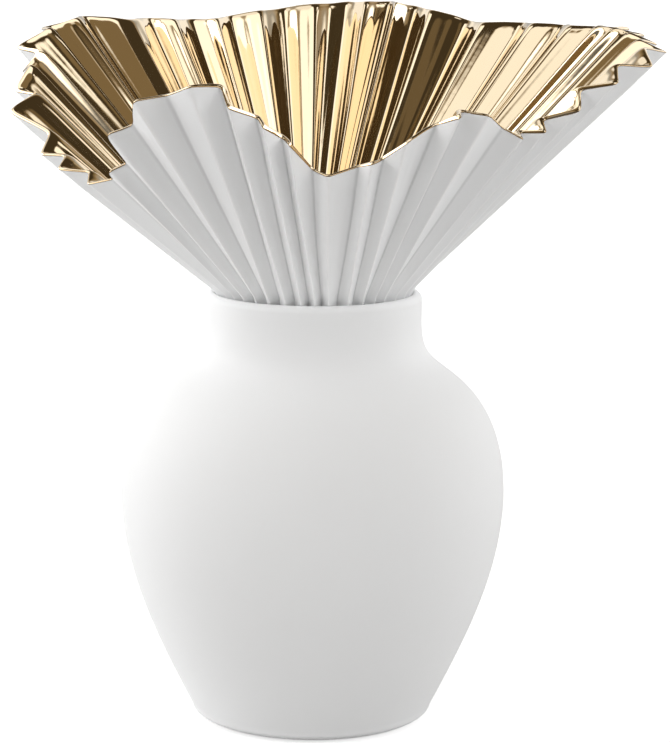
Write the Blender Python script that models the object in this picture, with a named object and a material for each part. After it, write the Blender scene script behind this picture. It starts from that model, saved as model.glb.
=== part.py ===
"""Porcelain vase with a pleated collar. Metres, +Z up, the foot's axis on Z and its underside at Z = 0.

Four pieces: the slip-cast body, the folded collar that stands in its neck, the ring of slip that fixes
the collar, and the fired gold on the collar's inner face and over its rim.
Lengths below are in millimetres, angles in degrees. Azimuth 0 is the front (-Y) and grows towards +X.
"""

import math

import bpy
from mathutils import Matrix, Vector

for old in list(bpy.data.objects):
    bpy.data.objects.remove(old)

MM = 0.001

# Colour, roughness and metallic value of each finish.
BISQUE = ((0.87, 0.87, 0.865), 0.75, 0.0)
SLIP = ((0.84, 0.83, 0.81), 0.8, 0.0)
GOLD_LUSTRE = ((0.86, 0.68, 0.36), 0.12, 1.0)

# ---------------------------------------------------------------- sizes of the body
TURNS = 72  # segments round the body
FOOT_FLAT = 37.0  # radius of the flat underside
FOOT_RADIUS = 44.9
FOOT_ROUND = 4.0  # height of the rounded edge under it
BELLY_RADIUS = 70.9
BELLY_HEIGHT = 86.0
NECK_OUTER = 39.5
NECK_FOOT = 141.0  # where the shoulder has turned into the neck
LIP_TOP = 159.0
LIP_ROUND = 2.6
BODY_WALL = 2.9
NECK_WALL = 3.3
FLOOR = 5.0

# ---------------------------------------------------------------- sizes of the collar
THROAT_CLEARANCE = 0.6  # between the neck and the collar's outer folds
THROAT_PLEAT = 2.8  # depth of the pleats in the throat
SPIGOT = 17.0  # how far the collar reaches down into the neck
COLLAR_WALL = 1.6
SLOPE = 41.5  # above the horizontal, at the sides and back
FRONT_STEEPER = 12.0
RIGHT_STEEPER = 2.6
LEAN = 1.5  # the collar sits a little higher on the right
SHIFT = 1.2  # and a little to the right of the neck's axis
CREASE = 0.12  # each fold is flattened over this part of its panels
SLANT_SCALE = 1.0  # makes every slant below longer or shorter

# ---------------------------------------------------------------- gold and slip
GAP = 0.3  # between fused pieces
GOLD_WALL = 0.5
GOLD_IN_NECK = 9.0
RING_THICK = 5.0

NECK_INNER = NECK_OUTER - NECK_WALL
RIDGE_BASE = NECK_INNER - THROAT_CLEARANCE
VALLEY_BASE = RIDGE_BASE - THROAT_PLEAT
SPIGOT_BOTTOM = LIP_TOP - SPIGOT
GOLD_BOTTOM = LIP_TOP - GOLD_IN_NECK
CONE_RADIUS = NECK_INNER + 0.4  # the slants start from this radius, level with the lip

# Each row is one pleat: azimuth of its outer fold in the throat, then azimuth and slant of the outer
# fold at the rim, then azimuth and slant of the inner fold that follows it at the rim.
PLEATS = [
    (-58, -69, 65.5, -63.5, 62),
    (-50.5, -54, 71, -52, 69),
    (-43, -45.5, 88.5, -42, 86),
    (-34, -34.5, 102, -30.5, 97),
    (-26, -22.5, 106, -18.5, 99),
    (-16, -16.5, 95.5, -12.5, 85),
    (-7, -10.5, 86.5, -7.5, 76),
    (1, -5.5, 78.5, -0.5, 62),
    (8.5, 3.5, 63.5, 12, 63),
    (20, 14, 69, 18, 66),
    (29, 21, 78.5, 29, 81),
    (37, 31, 90, 34, 87),
    (44.5, 37.5, 91, 48, 80),
    (54, 51, 80.5, 55, 78),
    (65, 57, 84, 60.5, 84),
    (74, 62.5, 94.5, 65.5, 98),
    (83, 67.5, 108, 73, 110),
    (92, 77.5, 117, 84, 118.5),
    (101, 92, 123.5, 98, 121),
    (109, 102, 126, 106, 123.5),
    (117, 110.5, 130, 113, 125),
    (125, 117, 133, 119, 125.5),
    (133, 123.5, 133.5, 127, 126),
    (141, 133.5, 134.5, 137, 127.5),
    (149, 142.5, 136.5, 148, 128.5),
    (157, 153.5, 138.5, 159, 136),
    (165, 163.5, 147.5, 165.5, 140),
    (172, 167.5, 150.5, 171, 141.5),
    (179, 174.5, 151.5, 179.5, 141),
    (187, 184.5, 148.5, 189, 138),
    (195, 193.5, 144.5, 197, 134),
    (203, 200, 143.5, 204.5, 134.5),
    (211, 207, 145, 213, 135.5),
    (220, 218.5, 148, 223, 138),
    (228, 227, 143, 230, 134),
    (237, 235.5, 134, 237.5, 122),
    (246, 239.5, 120.5, 243, 116),
    (255, 247, 111.5, 250, 102),
    (265, 257.5, 102.5, 263, 84),
    (275, 270, 81, 275, 74),
    (288, 281, 74, 285.5, 66),
]

# The shoulder, from the belly up to the neck: part of the height, part of the overhang left.
SHOULDER = [
    (0.2, 0.974),
    (0.382, 0.893),
    (0.509, 0.79),
    (0.627, 0.657),
    (0.727, 0.479),
    (0.8, 0.307),
    (0.865, 0.149),
    (0.927, 0.045),
]


def slope_at(azimuth):
    """The collar is steeper at the front, where its rim is lowest, and a little at the right."""
    forward = max(0.0, math.cos(math.radians(azimuth)))
    rightward = max(0.0, math.sin(math.radians(azimuth)))
    return math.radians(SLOPE + FRONT_STEEPER * forward**1.5 + RIGHT_STEEPER * rightward**2)


def polar(radius, azimuth, height):
    a = math.radians(azimuth)
    return Vector((radius * math.sin(a), -radius * math.cos(a), height))


def leaning(point):
    """Turns a point of the collar about the lip's left-right line, and moves it to the collar's own axis."""
    seat = Vector((0, 0, LIP_TOP))
    return Matrix.Rotation(math.radians(-LEAN), 3, "Y") @ (point - seat) + seat + Vector((SHIFT, 0, 0))


def rim_point(azimuth, slant, side):
    """A point of the rim: `slant` along the cone, and half the pleat's depth outwards or inwards from it."""
    slant *= SLANT_SCALE
    depth = side * (1.2 + 0.024 * slant)
    a = slope_at(azimuth)
    radius = CONE_RADIUS + slant * math.cos(a) + depth * math.sin(a)
    height = LIP_TOP + slant * math.sin(a) - depth * math.cos(a)
    return leaning(polar(radius, azimuth, height))


def throat_point(azimuth, side, height):
    return polar(RIDGE_BASE if side > 0 else VALLEY_BASE, azimuth, height)


def folds():
    """(throat azimuth, side, rim point) of each fold in turn, outer and inner alternately."""
    found = []
    for i, (base, out_azimuth, out_slant, in_azimuth, in_slant) in enumerate(PLEATS):
        following = PLEATS[(i + 1) % len(PLEATS)][0]
        following += 360 if following < base else 0
        found.append((base, 1, rim_point(out_azimuth, out_slant, 1)))
        found.append(((base + following) / 2, -1, rim_point(in_azimuth, in_slant, -1)))
    return found


def fold_rows(bottom):
    """Rows of points on the folds of the collar's outer face, from `bottom` up to the rim."""
    lines = folds()
    rows = []
    for height in (bottom, LIP_TOP - 1.0):
        rows.append([throat_point(azimuth, side, height) for azimuth, side, _ in lines])
    for part in (0.0, 0.34, 0.67, 1.0):
        row = []
        for azimuth, side, top in lines:
            foot = throat_point(azimuth, side, LIP_TOP + (0.0 if side > 0 else 0.6))
            foot += Vector((0, 0, 0.012 * foot.x))
            row.append(foot.lerp(top, part))
        rows.append(row)
    return rows


def inwards(rows, distance):
    """The folds moved inwards until the panels on either side of them have moved by `distance`."""
    moved = []
    for j, row in enumerate(rows):
        below, above = rows[max(j - 1, 0)], rows[min(j + 1, len(rows) - 1)]
        count = len(row)
        points = []
        for i, point in enumerate(row):
            up = (above[i] - point).normalized() + (point - below[i]).normalized()
            normals = []
            for a, b in ((row[i - 1], point), (point, row[(i + 1) % count])):
                normals.append((b - a).cross(up).normalized())
            both = normals[0] + normals[1]
            points.append(point - both * (distance / max(0.2, 1 + normals[0].dot(normals[1]))))
        moved.append(points)
    return moved


def flattened(row):
    """The row with every fold cut off, so that it turns in two steps."""
    count = len(row)
    points = []
    for i, fold in enumerate(row):
        points.append(fold.lerp(row[i - 1], CREASE))
        points.append(fold.lerp(row[(i + 1) % count], CREASE))
    return points


def past_rim(rows, distance):
    """The last row moved on along the folds by `distance`."""
    return [top + (top - under).normalized() * distance for under, top in zip(rows[-2], rows[-1])]


def piece(name, mesh, finish):
    """An object on the mesh, under the vase's empty, with a Principled material."""
    colour, roughness, metallic = finish
    material = bpy.data.materials.new(name)
    material.use_nodes = True
    shader = material.node_tree.nodes["Principled BSDF"]
    shader.inputs["Base Color"].default_value = (*colour, 1)
    shader.inputs["Roughness"].default_value = roughness
    shader.inputs["Metallic"].default_value = metallic
    mesh.materials.append(material)
    obj = bpy.data.objects.new(name, mesh)
    bpy.context.scene.collection.objects.link(obj)
    obj.parent = vase
    return obj


def band_of_rows(name, rows, falling, finish):
    """A closed band: the rows follow one another round the section, and the last joins the first.

    The panels are a little twisted, so faces that lie behind one another are cut along the same diagonal:
    the strips numbered in `falling` are cut the other way from the rest.
    """
    rows = [flattened(row) for row in rows]
    count = len(rows[0])
    points = [p for row in rows for p in row]
    faces = []
    for j in range(len(rows)):
        k = (j + 1) % len(rows)
        for i in range(count):
            n = (i + 1) % count
            a, b, c, d = j * count + i, j * count + n, k * count + n, k * count + i
            faces += [(a, b, d), (b, c, d)] if j in falling else [(a, b, c), (a, c, d)]
    mesh = bpy.data.meshes.new(name)
    mesh.from_pydata([point * MM for point in points], [], faces)
    return piece(name, mesh, finish)


def turned(name, outline, finish, closed=False):
    """An outline of (radius, height) turned about Z.

    It runs down its outer side, and an open one starts and ends on the axis.
    """
    mesh = bpy.data.meshes.new(name)
    edges = [(i, i + 1) for i in range(len(outline) - 1)]
    if closed:
        edges.append((len(outline) - 1, 0))
    mesh.from_pydata([(radius * MM, 0, height * MM) for radius, height in outline], edges, [])
    obj = piece(name, mesh, finish)
    screw = obj.modifiers.new("turned", "SCREW")
    screw.steps = screw.render_steps = TURNS
    screw.use_merge_vertices = True
    screw.merge_threshold = 0.0001
    return obj


vase = bpy.data.objects.new("vase", None)
bpy.context.scene.collection.objects.link(vase)

# ---------------------------------------------------------------- slip-cast body
# The wall rises from the foot to the belly as a quarter of a sine wave, then turns over the shoulder.
wall_curve = []
for turn in (0, 4.5, 13, 28.5, 45, 61.5, 78, 90):
    out = math.sin(math.radians(turn))
    radius = FOOT_RADIUS + (BELLY_RADIUS - FOOT_RADIUS) * out
    wall_curve.append((radius, FOOT_ROUND + (BELLY_HEIGHT - FOOT_ROUND) * turn / 90))
shoulder_end = NECK_OUTER + 0.5
for rise, left in SHOULDER:
    radius = shoulder_end + (BELLY_RADIUS - shoulder_end) * left
    wall_curve.append((radius, BELLY_HEIGHT + (NECK_FOOT - BELLY_HEIGHT) * rise))

foot_edge = FOOT_RADIUS - FOOT_FLAT
outside = [
    (0, 0),
    (FOOT_FLAT, 0),
    (FOOT_FLAT + 0.3 * foot_edge, 0.1 * FOOT_ROUND),
    (FOOT_FLAT + 0.72 * foot_edge, 0.45 * FOOT_ROUND),
    *wall_curve,
    (shoulder_end, NECK_FOOT),
    (NECK_OUTER, NECK_FOOT + 5.0),
]
for turn in (0, 30, 60, 90):
    a = math.radians(turn)
    outside.append((NECK_OUTER - LIP_ROUND * (1 - math.cos(a)), LIP_TOP - LIP_ROUND * (1 - math.sin(a))))

inside = [(NECK_INNER + 0.3, LIP_TOP - 0.3), (NECK_INNER, LIP_TOP - 1.1), (NECK_INNER, NECK_FOOT + 0.8)]
for i in range(len(wall_curve) - 1, 0, -1):
    (r0, z0), (r1, z1) = wall_curve[i - 1], wall_curve[min(i + 1, len(wall_curve) - 1)]
    along = math.hypot(r1 - r0, z1 - z0)
    radius = wall_curve[i][0] - BODY_WALL * (z1 - z0) / along
    height = wall_curve[i][1] + BODY_WALL * (r1 - r0) / along
    if radius > NECK_INNER and height > FLOOR + 3.0:
        inside.append((radius, height))
inside += [(inside[-1][0] - 6.0, FLOOR), (0, FLOOR)]
turned("vase_body", [*outside, *inside][::-1], BISQUE)

# ---------------------------------------------------------------- folded collar
outer = fold_rows(SPIGOT_BOTTOM)
inner = inwards(outer, COLLAR_WALL)
inner_strips = range(len(outer), 2 * len(outer))
band_of_rows("pleated_collar", [*outer, *inner[::-1]], inner_strips, BISQUE)

# ---------------------------------------------------------------- fired gold
# It lines the collar's inner face and wraps over the rim, so its section is a hook.
leaf = fold_rows(GOLD_BOTTOM)
back = inwards(leaf, COLLAR_WALL + GAP)
face = inwards(leaf, COLLAR_WALL + GAP + GOLD_WALL)
lower_edge = past_rim(leaf, GAP)
upper_edge = past_rim(leaf, GAP + GOLD_WALL)
back[-1] = [p + (q - r) for p, q, r in zip(back[-1], lower_edge, leaf[-1])]
face[-1] = [p + (q - r) for p, q, r in zip(face[-1], upper_edge, leaf[-1])]
over_rim = len(back) - 1
face_strips = range(len(back) + 2, 2 * len(back) + 2)
hook = [*back, lower_edge, upper_edge, *face[::-1]]
band_of_rows("gold_lining", hook, [over_rim, *face_strips], GOLD_LUSTRE)

# ---------------------------------------------------------------- ring of slip under the collar
# Its top lies just under the collar's end, and its inner side is a fillet down to the neck's wall.
ring_outer = NECK_INNER - GAP
ring_inner = VALLEY_BASE - COLLAR_WALL - 0.4
ring = [
    (ring_outer, 0),
    (ring_outer, -0.8 * RING_THICK),
    (ring_outer - 2.0, -RING_THICK),
    (ring_inner + 1.0, -0.6 * RING_THICK),
    (ring_inner, -0.15 * RING_THICK),
    (ring_inner + 0.4, 0),
]
slip_ring = turned("luting_ring", ring, SLIP, closed=True)
slip_ring.location.z = (SPIGOT_BOTTOM - GAP) * MM
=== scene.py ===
"""A white bisque porcelain vase whose pleated collar is lined with bright fired gold. Metres, +Z up."""

import bpy
import numpy as np
from mathutils import Matrix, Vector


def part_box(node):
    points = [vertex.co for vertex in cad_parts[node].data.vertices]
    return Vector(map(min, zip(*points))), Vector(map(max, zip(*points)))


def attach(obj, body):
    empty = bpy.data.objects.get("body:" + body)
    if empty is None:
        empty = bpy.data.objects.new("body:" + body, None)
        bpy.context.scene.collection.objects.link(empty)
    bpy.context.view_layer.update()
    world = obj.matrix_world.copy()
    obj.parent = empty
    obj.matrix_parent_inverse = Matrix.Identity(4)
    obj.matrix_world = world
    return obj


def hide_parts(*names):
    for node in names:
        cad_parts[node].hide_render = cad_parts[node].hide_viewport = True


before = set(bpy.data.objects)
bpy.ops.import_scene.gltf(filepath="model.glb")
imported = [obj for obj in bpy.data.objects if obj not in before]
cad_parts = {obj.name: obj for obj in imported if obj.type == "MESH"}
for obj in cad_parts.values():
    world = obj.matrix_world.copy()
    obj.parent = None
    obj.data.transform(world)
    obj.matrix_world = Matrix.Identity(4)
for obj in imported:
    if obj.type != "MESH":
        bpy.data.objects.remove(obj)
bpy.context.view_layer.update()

# ---------------------------------------------------------------------- The body
# Slip-cast porcelain with a round belly and a short straight neck, fired without a glaze and rubbed smooth,
# so it is matte with the faintest grain. It stands on a flat foot with a rounded edge.
MM = 0.001
LIP_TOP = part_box("vase_body")[1].z / MM
BELLY_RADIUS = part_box("vase_body")[1].x / MM
FOOT_FLAT, FOOT_RADIUS, FOOT_ROUND = 37.0, 44.9, 4.0
BELLY_HEIGHT, NECK_FOOT, NECK_OUTER = 86.0, 141.0, 39.5
LIP_ROUND, BEAD = 2.6, 0.12
BODY_WALL, NECK_WALL, FLOOR = 2.9, 3.3, 5.0
NECK_INNER = NECK_OUTER - NECK_WALL
SHOULDER_RISE = (0, 0.2, 0.382, 0.509, 0.627, 0.727, 0.8, 0.865, 0.927, 1)
SHOULDER_LEFT = (1, 0.974, 0.893, 0.79, 0.657, 0.479, 0.307, 0.149, 0.045, 0)
BISQUE_WHITE = (0.87, 0.875, 0.88, 1)
BODY_TURNS = 288  # segments round the body


def softened(line, reach):
    """Each point of a line becomes a bell-weighted average of its neighbours, out to 3 `reach` steps.

    The ends are held by mirroring the line about its first and last points.
    """
    steps = np.arange(-3 * reach, 3 * reach + 1)
    weights = np.exp(-((steps / reach) ** 2) / 2)
    pad = len(steps) // 2
    head, tail = 2 * line[0] - line[pad:0:-1], 2 * line[-1] - line[-2 : -pad - 2 : -1]
    long = np.concatenate([head, line, tail])
    weights /= weights.sum()
    return np.stack([np.convolve(column, weights, "valid") for column in long.T], 1)


def spaced(line, gap):
    """The line again with its points `gap` apart along its length."""
    run = np.concatenate([[0], np.cumsum(np.linalg.norm(np.diff(line, axis=0), axis=1))])
    at = np.linspace(0, run[-1], int(run[-1] / gap) + 2)
    return np.stack([np.interp(at, run, column) for column in line.T], 1)


def around_z(outline, count):
    """A grid of points: the outline's radius r and height z at `count` azimuths a.

    Each point is (r sin a, -r cos a, z).
    """
    a = np.linspace(0, 2 * np.pi, count, endpoint=False)
    r, z = outline[:, 0, None], outline[:, 1, None]
    return np.stack([r * np.sin(a), -r * np.cos(a), z + 0 * a], -1)


def skin(name, grid, poles=None, joined=False):
    """A mesh object over a grid of millimetre points whose columns close round.

    Rows are joined into a closed band if `joined`, or each end is closed by a fan to its point in `poles`.
    """
    rows, cols = grid.shape[:2]
    j, i = np.meshgrid(np.arange(rows if joined else rows - 1), np.arange(cols), indexing="ij")
    k, n = (j + 1) % rows, (i + 1) % cols
    faces = np.stack([j * cols + i, j * cols + n, k * cols + n, k * cols + i], -1).reshape(-1, 4).tolist()
    points = grid.reshape(-1, 3)
    if poles is not None:
        ring = np.arange(cols)
        after = np.roll(ring, -1)
        low, high, top = rows * cols, rows * cols + 1, (rows - 1) * cols
        faces += np.stack([np.full(cols, low), after, ring], -1).tolist()
        faces += np.stack([np.full(cols, high), top + ring, top + after], -1).tolist()
        points = np.concatenate([points, poles])
    mesh = bpy.data.meshes.new(name)
    mesh.from_pydata(points * MM, [], faces)
    mesh.shade_smooth()
    obj = bpy.data.objects.new(name, mesh)
    bpy.context.scene.collection.objects.link(obj)
    return obj


def body_outline():
    """Radius and height from the foot's middle up the outside, over the lip and down the inside.

    The wall is a quarter sine from the foot to the belly, then the shoulder eases into the neck. The
    inside is that curve moved in by the wall, square to it.
    """
    turn = np.linspace(0, 1, 60)
    rise = turn[1:]
    left = np.interp(rise, SHOULDER_RISE, SHOULDER_LEFT)
    swelling = FOOT_RADIUS + (BELLY_RADIUS - FOOT_RADIUS) * np.sin(turn * np.pi / 2)
    lower = np.stack([swelling, FOOT_ROUND + (BELLY_HEIGHT - FOOT_ROUND) * turn], 1)
    base = NECK_OUTER + 0.5
    easing = base + (BELLY_RADIUS - base) * left
    upper = np.stack([easing, BELLY_HEIGHT + (NECK_FOOT - BELLY_HEIGHT) * rise], 1)
    neck = [(NECK_OUTER, NECK_FOOT + 5), (NECK_OUTER, LIP_TOP - 6), (NECK_OUTER + BEAD, LIP_TOP - 4.6)]
    wall = softened(spaced(np.concatenate([lower, upper, neck]), 0.8), 4)
    arc = np.radians(np.linspace(0, 90, 9))
    lip_radius = NECK_OUTER + BEAD - LIP_ROUND * (1 - np.cos(arc))
    lip = np.stack([lip_radius, LIP_TOP - LIP_ROUND * (1 - np.sin(arc))], 1)
    heel = np.radians(np.linspace(-82, 0, 9))[:-1]
    heel_radius = FOOT_FLAT + (FOOT_RADIUS - FOOT_FLAT) * np.cos(heel)
    foot = np.stack([heel_radius, FOOT_ROUND * (1 + np.sin(heel))], 1)
    outside = np.concatenate([[(1, 0), (20, 0), (FOOT_FLAT - 1, 0)], foot, wall[:-3:2], lip])
    along = np.gradient(wall, axis=0)
    along /= np.linalg.norm(along, axis=1, keepdims=True)
    inner = (wall + BODY_WALL * np.stack([-along[:, 1], along[:, 0]], 1))[::-1]
    inner = inner[(inner[:, 0] > NECK_INNER + 0.4) & (inner[:, 1] > FLOOR + 3)]
    mouth = [(NECK_INNER + 0.3, LIP_TOP - 0.1), (NECK_INNER, LIP_TOP - 0.9), (NECK_INNER, NECK_FOOT + 1)]
    bowl = [(inner[-1, 0] - 2.5, FLOOR + 0.7), (inner[-1, 0] - 7, FLOOR), (1, FLOOR)]
    inside = softened(spaced(np.concatenate([mouth[1:], inner, bowl]), 1.0), 2)
    return np.concatenate([outside, mouth[:1], inside[::2], inside[-1:]])


def finish(name):
    """A new material, its nodes, its function that links two sockets, its shader and a maker of grain."""
    material = bpy.data.materials.new(name)
    material.use_nodes = True
    nodes, link = material.node_tree.nodes, material.node_tree.links.new
    place = nodes.new("ShaderNodeTexCoord").outputs["Object"]

    def grain(scale, detail):
        noise = nodes.new("ShaderNodeTexNoise")
        noise.inputs["Scale"].default_value = scale
        noise.inputs["Detail"].default_value = detail
        link(place, noise.inputs["Vector"])
        return noise.outputs["Fac"]

    return material, nodes, link, nodes["Principled BSDF"], grain


def mixed(nodes, link, factor, first, second):
    """The blend of two colours by a factor, where `first` is a colour or a socket."""
    mix = nodes.new("ShaderNodeMix")
    mix.data_type = "RGBA"
    link(factor, mix.inputs["Factor"])
    if isinstance(first, bpy.types.NodeSocket):
        link(first, mix.inputs["A"])
    else:
        mix.inputs["A"].default_value = first
    mix.inputs["B"].default_value = second
    return mix.outputs["Result"]


def surface(nodes, link, shader, grit, smoothest, roughest, relief, strength, height):
    """Roughness that follows one grain between two limits, and a relief of `height` metres from another."""
    rough = nodes.new("ShaderNodeMapRange")
    rough.inputs["To Min"].default_value = smoothest
    rough.inputs["To Max"].default_value = roughest
    link(grit, rough.inputs["Value"])
    link(rough.outputs["Result"], shader.inputs["Roughness"])
    bump = nodes.new("ShaderNodeBump")
    bump.inputs["Strength"].default_value = strength
    bump.inputs["Distance"].default_value = height
    link(relief, bump.inputs["Height"])
    link(bump.outputs["Normal"], shader.inputs["Normal"])


def bisque(name, white, folded=False):
    """Unglazed porcelain: nearly white, matte, with a grain finer than a millimetre and very faint clouding.

    On a folded sheet the outer folds are painted whiter as a painted highlight, and the inner folds are
    painted grey as painted shade.
    """
    material, nodes, link, shader, grain = finish(name)
    clouded = [c * 0.985 for c in white[:3]] + [1]
    colour = mixed(nodes, link, grain(22, 3), clouded, white)
    if folded:
        crest = nodes.new("ShaderNodeAttribute")
        crest.attribute_name = "crest"
        # Painted highlight on the outer folds and painted shade in the inner folds.
        for start, end, shade in ((PAINTED_HIGHLIGHT_EDGE, 1.0, RIDGE_PAINTED_HIGHLIGHT), (PAINTED_SHADE_EDGE, -1.0, CREASE_PAINTED_SHADE)):
            reach = nodes.new("ShaderNodeMapRange")
            reach.interpolation_type = "SMOOTHSTEP"
            reach.inputs["From Min"].default_value = start
            reach.inputs["From Max"].default_value = end
            link(crest.outputs["Fac"], reach.inputs["Value"])
            colour = mixed(nodes, link, reach.outputs["Result"], colour, shade)
    link(colour, shader.inputs["Base Color"])
    surface(nodes, link, shader, grain(300, 2), 0.6, 0.8, grain(2200, 3), 0.35, 0.00004)
    shader.inputs["Specular IOR Level"].default_value = 0.3
    return material


outline = body_outline()
body = skin("bisque_body", around_z(outline, BODY_TURNS), poles=[(0, 0, 0), (0, 0, FLOOR)])
body.data.materials.append(bisque("bisque_body", BISQUE_WHITE))
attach(body, "root")
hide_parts("vase_body")

# ---------------------------------------------------------------------- The folded collar
# One thin sheet of porcelain, folded by hand like paper into forty-one uneven pleats and set in the neck.
# It sits a little higher on the right, and its rim rises and falls. It is bisque too, with crisp folds and
# soft panels.
SPIGOT_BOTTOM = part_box("pleated_collar")[0].z / MM
THROAT_CLEARANCE, THROAT_PLEAT = 0.6, 2.8
SLOPE, FRONT_STEEPER, RIGHT_STEEPER, LEAN, SHIFT = 41.5, 12.0, 2.6, 1.5, 1.2
COLLAR_WALL = 1.9
GLAZE_RIPPLE = 3.0  # how much more the inner face swells and ripples than the outer one
RIM_WALL = 0.5  # the sheet thins to this at the rim
RIM_ROLL = 5.0  # over this length
PER_PANEL = 14  # points across each panel
FOLD_SOFTNESS, RIM_SOFTNESS = 0.75, 1.6  # in steps of a fourteenth of a panel
UNDER_GOLD = 0.16  # the porcelain's inner face stops this far short of the gold's
RIM_BAND, FOOT_LEVEL = 6, 1000  # levels along a fold, as fold_at reads them
BEND = 4  # half the length over which a fold turns down into the neck
SWAY = 0.7
CONE_RADIUS = NECK_INNER + 0.4  # the slants start from this radius, level with the lip
RIM_DEPTH, DEPTH_GROWTH = 1.2, 0.024  # half a pleat's depth, and how it grows with the slant
VALLEY_RISE, THROAT_TILT = 0.6, 0.012  # of the folds' feet
PANEL_WHITE = (0.92, 0.925, 0.93, 1)
RIDGE_PAINTED_HIGHLIGHT, CREASE_PAINTED_SHADE = (0.99, 0.99, 0.99, 1), (0.74, 0.745, 0.75, 1)  # painted highlight on the outer folds and painted shade on the inner folds
PAINTED_HIGHLIGHT_EDGE = 0.74  # the painted highlight starts here: 0 is the panel's middle, 1 its outer fold
PAINTED_SHADE_EDGE = -0.72  # the painted shade starts here, and -1 is the inner fold

# Each row is one pleat: azimuth of its outer fold in the throat, then azimuth and slant of the outer fold at
# the rim, then azimuth and slant of the inner fold that follows it at the rim.
PLEATS = np.array([
    (-58, -69, 65.5, -63.5, 62),
    (-50.5, -54, 71, -52, 69),
    (-43, -45.5, 88.5, -42, 86),
    (-34, -34.5, 102, -30.5, 97),
    (-26, -22.5, 106, -18.5, 99),
    (-16, -16.5, 95.5, -12.5, 85),
    (-7, -10.5, 86.5, -7.5, 76),
    (1, -5.5, 78.5, -0.5, 62),
    (8.5, 3.5, 63.5, 12, 63),
    (20, 14, 69, 18, 66),
    (29, 21, 78.5, 29, 81),
    (37, 31, 90, 34, 87),
    (44.5, 37.5, 91, 48, 80),
    (54, 51, 80.5, 55, 78),
    (65, 57, 84, 60.5, 84),
    (74, 62.5, 94.5, 65.5, 98),
    (83, 67.5, 108, 73, 110),
    (92, 77.5, 117, 84, 118.5),
    (101, 92, 123.5, 98, 121),
    (109, 102, 126, 106, 123.5),
    (117, 110.5, 130, 113, 125),
    (125, 117, 133, 119, 125.5),
    (133, 123.5, 133.5, 127, 126),
    (141, 133.5, 134.5, 137, 127.5),
    (149, 142.5, 136.5, 148, 128.5),
    (157, 153.5, 138.5, 159, 136),
    (165, 163.5, 147.5, 165.5, 140),
    (172, 167.5, 150.5, 171, 141.5),
    (179, 174.5, 151.5, 179.5, 141),
    (187, 184.5, 148.5, 189, 138),
    (195, 193.5, 144.5, 197, 134),
    (203, 200, 143.5, 204.5, 134.5),
    (211, 207, 145, 213, 135.5),
    (220, 218.5, 148, 223, 138),
    (228, 227, 143, 230, 134),
    (237, 235.5, 134, 237.5, 122),
    (246, 239.5, 120.5, 243, 116),
    (255, 247, 111.5, 250, 102),
    (265, 257.5, 102.5, 263, 84),
    (275, 270, 81, 275, 74),
    (288, 281, 74, 285.5, 66),
])


def polar(radius, azimuth, height):
    """(r sin a, -r cos a, z), with azimuth a in degrees, 0 at the front and growing to the right."""
    a = np.radians(azimuth)
    return np.stack([radius * np.sin(a), -radius * np.cos(a), height + 0 * a], -1)


def rim_points(azimuth, slant, side):
    """Points on the rim: `slant` up the cone, half the pleat's depth out of it or into it, then leaned."""
    depth = side * (RIM_DEPTH + DEPTH_GROWTH * slant)
    forward = np.maximum(0, np.cos(np.radians(azimuth)))
    rightward = np.maximum(0, np.sin(np.radians(azimuth)))
    slope = np.radians(SLOPE + FRONT_STEEPER * forward**1.5 + RIGHT_STEEPER * rightward**2)
    out = slant * np.cos(slope) + depth * np.sin(slope)
    up = slant * np.sin(slope) - depth * np.cos(slope)
    x, y, z = polar(CONE_RADIUS + out, azimuth, up).T
    lean = np.radians(-LEAN)
    leaned_x = x * np.cos(lean) + z * np.sin(lean) + SHIFT
    return np.stack([leaned_x, y, LIP_TOP + z * np.cos(lean) - x * np.sin(lean)], -1)


bases = PLEATS[:, 0]
following = np.roll(bases, -1) + 360 * (np.roll(bases, -1) < bases)
side = np.tile([1.0, -1.0], len(PLEATS))
throat_azimuth = np.stack([bases, (bases + following) / 2], 1).ravel()
throat_radius = NECK_INNER - THROAT_CLEARANCE - THROAT_PLEAT * (side < 0)
rim_ridges = rim_points(PLEATS[:, 1], PLEATS[:, 2], 1)
rim_valleys = rim_points(PLEATS[:, 3], PLEATS[:, 4], -1)
rim = np.stack([rim_ridges, rim_valleys], 1).reshape(-1, 3)
foot = polar(throat_radius, throat_azimuth, LIP_TOP + VALLEY_RISE * (side < 0))
foot[:, 2] += THROAT_TILT * foot[:, 0]
run = np.linalg.norm(rim - foot, axis=1, keepdims=True)
climb = (rim - foot) / run
chance = np.random.default_rng(41)
sway = chance.uniform(-SWAY, SWAY, (len(side), 1)) * np.cross(climb, [0, 0, 1])
swell = chance.uniform(-0.03, 0.034, len(side))
ripple = chance.uniform(0.0025, 0.005, len(side))
phase = chance.uniform(0, 2 * np.pi, len(side))
drift = chance.uniform(-4, 4, len(side))


def fold_at(below_rim):
    """Points and directions of all folds at one level, given as a length below the rim.

    Down to RIM_BAND that is the length itself. Past it the rest of each fold is shared out evenly, with
    FOOT_LEVEL at its foot. From there on the folds go straight down into the neck, a millimetre for each
    one. The turn at the foot is a quadratic curve over BEND on either side, and between its ends a fold
    sways sideways by part of a millimetre.
    """
    down = np.array([0, 0, -1.0])
    if below_rim <= RIM_BAND:
        up_from_foot = run - below_rim
    else:
        up_from_foot = (run - RIM_BAND) * (1 - (below_rim - RIM_BAND) / (FOOT_LEVEL - RIM_BAND))
    if below_rim >= FOOT_LEVEL:
        up_from_foot = FOOT_LEVEL - below_rim + 0 * run
    turn = np.clip((up_from_foot + BEND) / (2 * BEND), 0, 1)
    start, end = foot + BEND * down, foot + BEND * climb
    curved = (1 - turn) ** 2 * start + 2 * turn * (1 - turn) * foot + turn**2 * end
    straight = np.where(up_from_foot > BEND, foot + climb * up_from_foot, foot - down * up_from_foot)
    points = np.where(np.abs(up_from_foot) < BEND, curved, straight)
    direction = (1 - turn) * -down + turn * climb
    direction /= np.linalg.norm(direction, axis=1, keepdims=True)
    part = np.clip(up_from_foot / run, 0, 1)
    return points + sway * np.sin(np.pi * part) ** 2, direction


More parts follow.
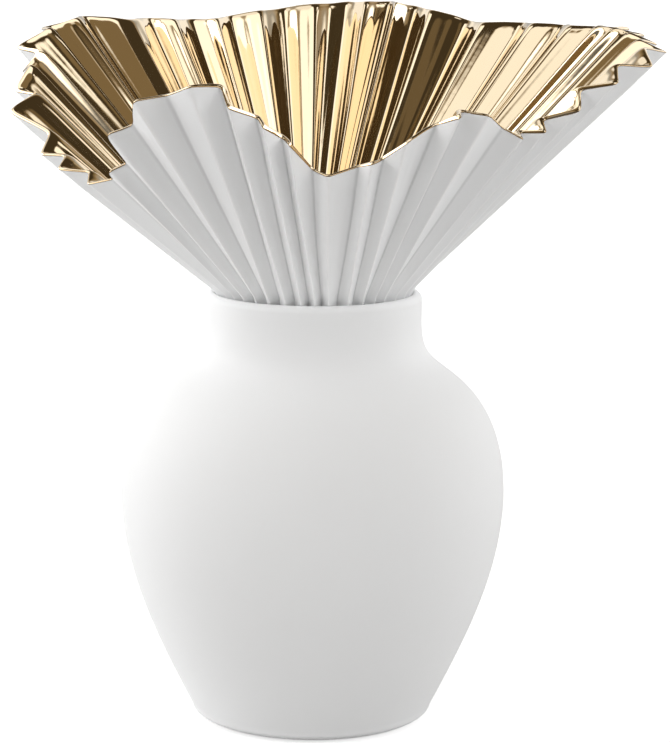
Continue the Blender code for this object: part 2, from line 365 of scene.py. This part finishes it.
def moved_in(points, up, distance):
    """The folds moved in until the panels beside them have moved by `distance`, by the mitre rule.

    With n and m the outward normals of the two panels, the move is -(n + m) distance / (1 + n.m).
    """
    n = np.cross(points - np.roll(points, 1, 0), up)
    m = np.cross(np.roll(points, -1, 0) - points, up)
    n /= np.linalg.norm(n, axis=1, keepdims=True)
    m /= np.linalg.norm(m, axis=1, keepdims=True)
    return points - (n + m) * distance / np.maximum(0.2, 1 + (n * m).sum(1, keepdims=True))


def across_panels(points, up, below_rim, depth):
    """One closed row from fold to fold. Each panel swells a little and ripples twice across its width w.

    At a part t of the way across, it stands out by w (4 swell t (1 - t) + ripple sin(4 pi t + phase)),
    where the ripple dies out at both folds, and the phase drifts along the panel by `drift` for its whole
    length. All of this is stronger on the inner face, where glaze has pooled over it. Every fold is then
    eased by a bell curve, wider close to the rim.
    """
    onward = np.roll(points, -1, 0) - points
    out = np.cross(onward, up)
    t = (np.arange(PER_PANEL) / PER_PANEL)[None, :]
    turned = phase + drift * min(below_rim, FOOT_LEVEL) / FOOT_LEVEL
    stand = 4 * swell[:, None] * t * (1 - t)
    stand += ripple[:, None] * np.sin(4 * np.pi * t + turned[:, None]) * np.minimum(1, 6 * t * (1 - t))
    stand *= 1 + (GLAZE_RIPPLE - 1) * max(0, depth) / COLLAR_WALL
    row = (points[:, None] + onward[:, None] * t[..., None] + out[:, None] * stand[..., None]).reshape(-1, 3)
    softness = FOLD_SOFTNESS + (RIM_SOFTNESS - FOLD_SOFTNESS) * np.exp(-max(0, below_rim) / 12)
    reach = np.arange(-4, 5)
    weights = np.exp(-((reach / softness) ** 2) / 2)
    weights /= weights.sum()
    return sum(w * np.roll(row, k, 0) for w, k in zip(weights, reach))


def wall_at(below_rim):
    """Thickness of the sheet: full, but rolled off on a quarter ellipse to the thin rim."""
    near = np.clip(below_rim / RIM_ROLL, 0, 1)
    return RIM_WALL + (COLLAR_WALL - RIM_WALL) * np.sqrt(1 - (1 - near) ** 2)


def folded(levels, depths):
    """A grid with one row for each level below the rim and depth into the sheet."""
    rows = []
    for level, depth in zip(levels, depths):
        points, up = fold_at(level)
        rows.append(across_panels(moved_in(points, up, depth), up, level, depth))
    return np.array(rows)


def with_crests(obj):
    """Marks how near each point is to a fold, from 1 on the outer folds to -1 on the inner ones."""
    along = 1 - 2 * np.arange(PER_PANEL) / PER_PANEL
    row = (side[:, None] * along).ravel()
    crest = obj.data.attributes.new("crest", "FLOAT", "POINT")
    crest.data.foreach_set("value", np.tile(row, len(obj.data.vertices) // len(row)).astype(np.float32))


neck_end = FOOT_LEVEL + LIP_TOP - SPIGOT_BOTTOM
neck_levels = [neck_end, 1010, 1005, 1003, 1002, 1001, 1000, 995, 985, 970, 955]
up_levels = np.array([*neck_levels, *np.linspace(935, 30, 26), 6, 4, 2.5, 1, 0.3])
rim_levels = [0.4, 0.9, 1.6, 2.6, 4, 6, 30, 120, 300, 500, 700, 850]
down_levels = np.array([*rim_levels, 940, 970, 985, 995, 1000, 1002, 1005, 1010, neck_end])
levels = np.concatenate([up_levels, down_levels])
depths = np.concatenate([0 * up_levels, wall_at(down_levels) - UNDER_GOLD])
collar = skin("folded_collar", folded(levels, depths), joined=True)
# The crest values place the painted highlight and the painted shade on the folds.
with_crests(collar)
collar.data.materials.append(bisque("bisque_collar", PANEL_WHITE, folded=True))
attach(collar, "root")
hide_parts("pleated_collar")

# ---------------------------------------------------------------------- The gold
# Liquid bright gold brushed over a glazed inner face and fired, so it mirrors the room. It goes over the
# rim and stops a quarter of a millimetre down the outside in a fine line.
GOLD_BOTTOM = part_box("gold_lining")[0].z / MM
GOLD = (0.98, 0.82, 0.59, 1)
GOLD_THICK = 0.08
GOLD_OUTSIDE = 0.24  # how far the line over the rim comes down the outside
# Painted dark reflection: the gold line over the rim is darkened to brown.
PAINTED_DARK_REFLECTION = (0.3, 0.2, 0.1, 1)


def bright_gold(name, colour):
    """Fired gold: a mirror with a trace of brush marks, slightly warmer where it lies thicker.

    On the line over the rim its colour is darkened to brown, a painted dark reflection.
    """
    material, nodes, link, shader, grain = finish(name)
    shader.inputs["Metallic"].default_value = 1
    warmer = (colour[0], colour[1] * 0.97, colour[2] * 0.9, 1)
    tone = mixed(nodes, link, grain(30, 4), warmer, colour)
    # The line over the rim gets a painted dark reflection in brown.
    painted_dark_line = nodes.new("ShaderNodeAttribute")
    painted_dark_line.attribute_name = "painted_dark_line"
    link(mixed(nodes, link, painted_dark_line.outputs["Fac"], tone, PAINTED_DARK_REFLECTION), shader.inputs["Base Color"])
    surface(nodes, link, shader, grain(160, 3), 0.03, 0.1, grain(120, 2), 0.25, 0.00012)
    return material


gold_end = FOOT_LEVEL + LIP_TOP - GOLD_BOTTOM
behind_throat = [gold_end, 1004, 1002, 1000, 995, 985, 955]
back_levels = np.array([*behind_throat, 900, 700, 500, 250, 30, 6, 4, 2.6, 1.6, 0.9, 0.4])
edge_levels = np.array([0.15, 0.18, GOLD_OUTSIDE, GOLD_OUTSIDE, 0.15, 0.03, -0.04])
edge_depths = np.array([0.03, 0.02, 0.02, -0.05, -0.05, 0.02, 0.18])
mouth_levels = [0.15, 0.4, 0.8, 1.3, 2, 3, 4, 6]
throat_levels = [955, 970, 985, 995, 1000, 1002, 1004, gold_end]
face_levels = np.array([*mouth_levels, *np.linspace(30, 935, 28), *throat_levels])
levels = np.concatenate([back_levels, edge_levels, face_levels])
depths = np.concatenate([wall_at(back_levels) - GOLD_THICK, edge_depths, wall_at(face_levels)])
gold = skin("gold_leaf", folded(levels, depths), joined=True)
# Marks the rows of the line over the rim, which get the painted dark reflection.
painted_dark_line = gold.data.attributes.new("painted_dark_line", "FLOAT", "POINT")
over_rim = (levels < 1) & (depths < 0.1)  # the rows of the line, which lies on the outside
painted_dark_line.data.foreach_set("value", np.repeat(over_rim.astype(np.float32), PER_PANEL * len(side)))
gold.data.materials.append(bright_gold("fired_gold", GOLD))
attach(gold, "root")
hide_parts("gold_lining")

# ---------------------------------------------------------------------- The ring of slip
# Under the collar a ring of stiff slip holds it in the neck. It is left as it was pressed in, matte and a
# little greyer.
SLIP_GREY = (0.84, 0.83, 0.81, 1)
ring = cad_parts["luting_ring"]
ring.data.materials.clear()
ring.data.materials.append(bisque("slip", SLIP_GREY))

# ---------------------------------------------------------------------- The studio
# A white floor that runs out of sight, a dim room with soft boxes and lit cloths round it, and a long lens.
# The camera sees the room as plain white and the floor brighter than it lights the vase.
REACH = 15  # of the floor, in metres, to each side
PAPER_GREY, PAPER_BURN = (0.68, 0.68, 0.68, 1), 0.6
ROOM, BRIGHTER_BEHIND = 0.31, 0.24
LEFT_BOX, RIGHT_BOX, FRONT_BOX, BACK_BOX, CEILING = 3.25, 2.2, 3.0, 0.65, 0.05
TIMBER = (1, 0.74, 0.4, 1)  # tints what is dim overhead
floor_mesh = bpy.data.meshes.new("floor")
corners = [(-REACH, -REACH, 0), (REACH, -REACH, 0), (REACH, REACH, 0), (-REACH, REACH, 0)]
floor_mesh.from_pydata(corners, [], [(0, 1, 2, 3)])
floor = bpy.data.objects.new("floor", floor_mesh)
bpy.context.scene.collection.objects.link(floor)
paper = bpy.data.materials.new("white_paper")
paper.use_nodes = True
paper_shader = paper.node_tree.nodes["Principled BSDF"]
paper_shader.inputs["Base Color"].default_value = PAPER_GREY
paper_shader.inputs["Roughness"].default_value = 0.9
paper_shader.inputs["Specular IOR Level"].default_value = 0.1
paper_shader.inputs["Emission Color"].default_value = (1, 1, 1, 1)
seen_directly = paper.node_tree.nodes.new("ShaderNodeLightPath").outputs["Is Camera Ray"]
burnt_out = paper.node_tree.nodes.new("ShaderNodeMath")
burnt_out.operation = "MULTIPLY"
burnt_out.inputs[1].default_value = PAPER_BURN
paper.node_tree.links.new(seen_directly, burnt_out.inputs[0])
paper.node_tree.links.new(burnt_out.outputs[0], paper_shader.inputs["Emission Strength"])
floor_mesh.materials.append(paper)

world = bpy.data.worlds.new("studio")
bpy.context.scene.world = world
world.use_nodes = True
nodes, link = world.node_tree.nodes, world.node_tree.links.new
nodes.clear()
direction = nodes.new("ShaderNodeTexCoord").outputs["Generated"]
apart = nodes.new("ShaderNodeSeparateXYZ")
link(direction, apart.inputs[0])


def maths(operation, a, b=0.0, clamp=False):
    """One sum on numbers or sockets."""
    node = nodes.new("ShaderNodeMath")
    node.operation = operation
    node.use_clamp = clamp
    for socket, value in zip(node.inputs, (a, b)):
        if isinstance(value, (int, float)):
            socket.default_value = value
        else:
            link(value, socket)
    return node.outputs[0]


def window(value, low, high, soft):
    """1 where the value is between low and high, fading out over `soft` at both ends."""
    rise = maths("MULTIPLY", maths("SUBTRACT", value, low), 1 / soft, clamp=True)
    fall = maths("MULTIPLY", maths("SUBTRACT", high, value), 1 / soft, clamp=True)
    return maths("MULTIPLY", rise, fall)


def patch(light, azimuth, elevation, radius, soft, level):
    """Sets the light to `level` within `radius` degrees of a direction, easing off over the last `soft`."""
    a, e = np.radians(azimuth), np.radians(elevation)
    facing = nodes.new("ShaderNodeVectorMath")
    facing.operation = "DOT_PRODUCT"
    link(direction, facing.inputs[0])
    facing.inputs[1].default_value = (np.sin(a) * np.cos(e), -np.cos(a) * np.cos(e), np.sin(e))
    edge, full = np.cos(np.radians([radius, max(0, radius - soft)]))
    past_edge = maths("SUBTRACT", facing.outputs["Value"], edge)
    inside = maths("MULTIPLY", past_edge, 1 / (full - edge), clamp=True)
    return maths("ADD", light, maths("MULTIPLY", inside, maths("SUBTRACT", level, light)))


x, y, z = apart.outputs
ceiling = window(z, 0.58, 2.0, 0.14)
light = maths("ADD", ROOM, maths("MULTIPLY", maths("MINIMUM", y, 0.15), BRIGHTER_BEHIND))
left_box = maths("MULTIPLY", window(x, -1.01, -0.6, 0.1), window(z, -0.1, 0.62, 0.08))
right_box = maths("MULTIPLY", window(x, 0.65, 1.01, 0.1), window(z, -0.1, 0.55, 0.08))
front_box = maths("MULTIPLY", window(x, 0.1, 0.9, 0.1), window(z, 0.4, 0.68, 0.08))
front_box = maths("MULTIPLY", front_box, window(y, -1.01, -0.25, 0.1))
back_box = maths("MULTIPLY", window(y, 0.55, 1.01, 0.1), window(z, -0.1, 0.5, 0.08))
boxes = ((left_box, LEFT_BOX), (right_box, RIGHT_BOX), (front_box, FRONT_BOX), (back_box, BACK_BOX))
for box, level in boxes:
    light = maths("ADD", light, maths("MULTIPLY", box, level))
light = maths("ADD", light, maths("MULTIPLY", ceiling, maths("SUBTRACT", CEILING, light)))
# Lit cloths and dark gaps: azimuth, elevation, radius and softness in degrees, and level.
for azimuth, elevation, radius, soft, level in (
    (-100, 62, 24, 3, 1.25),
    (-50, 62, 16, 3, 0.2),
    (-53, 51, 4, 2, 0.5),
    (-36, 39, 9, 3, 0.34),
    (-2, 41, 6, 2, 0.57),
    (5, 77, 4, 2, 1.2),
    (31, 59, 18, 3, 1.05),
    (12, 63, 4, 2, 0.2),
    (76, 63, 9, 3, 0.14),
    (110, 35, 3, 1, 0.04),
    (117, 43, 5, 2, 1.3),
    (114, 61, 9, 3, 0.05),
    (126, 51, 5, 2, 1.2),
    (140, 37, 7, 3, 0.4),
    (-103, 33, 4, 2, 0.5),
    (-108, 43, 5, 2, 1.6),
    (-120, 39, 5, 2, 0.35),
    (-138, 46, 12, 4, 0.95),
):
    light = patch(light, azimuth, elevation, radius, soft, level)
backdrop = nodes.new("ShaderNodeLightPath").outputs["Is Camera Ray"]
seen = nodes.new("ShaderNodeMix")
seen.data_type = "FLOAT"
link(backdrop, seen.inputs[0])
link(light, seen.inputs[2])
seen.inputs[3].default_value = 1.0
dim = maths("MULTIPLY", maths("SUBTRACT", 0.7, seen.outputs[0]), 2.0, clamp=True)
dim = maths("MULTIPLY", dim, window(z, 0.5, 2.0, 0.1))
shine = nodes.new("ShaderNodeBackground")
link(mixed(nodes, link, dim, (1, 1, 1, 1), TIMBER), shine.inputs["Color"])
link(seen.outputs[0], shine.inputs["Strength"])
out = nodes.new("ShaderNodeOutputWorld")
link(shine.outputs[0], out.inputs[0])
bpy.context.scene.view_settings.view_transform = "Standard"

LENS_FROM, AIM, LOOK_DOWN, ROLL = 1.0, 0.08, np.radians(12.86), np.radians(0.37)
forward = np.array([0, np.cos(LOOK_DOWN), -np.sin(LOOK_DOWN)])
level_right = np.array([1.0, 0, 0])
level_up = np.cross(level_right, forward)
right = level_right * np.cos(ROLL) + level_up * np.sin(ROLL)
up = -level_right * np.sin(ROLL) + level_up * np.cos(ROLL)
at = np.array([0, 0, AIM]) - forward * LENS_FROM
camera_data = bpy.data.cameras.new("camera")
camera = bpy.data.objects.new("camera", camera_data)
bpy.context.scene.collection.objects.link(camera)
turned = np.stack([right, up, -forward, at], 1)
camera.matrix_world = Matrix([*turned, (0, 0, 0, 1)])
camera_data.lens = 130.4
camera_data.shift_x, camera_data.shift_y = 0.0303, 0.1754
bpy.context.scene.camera = camera
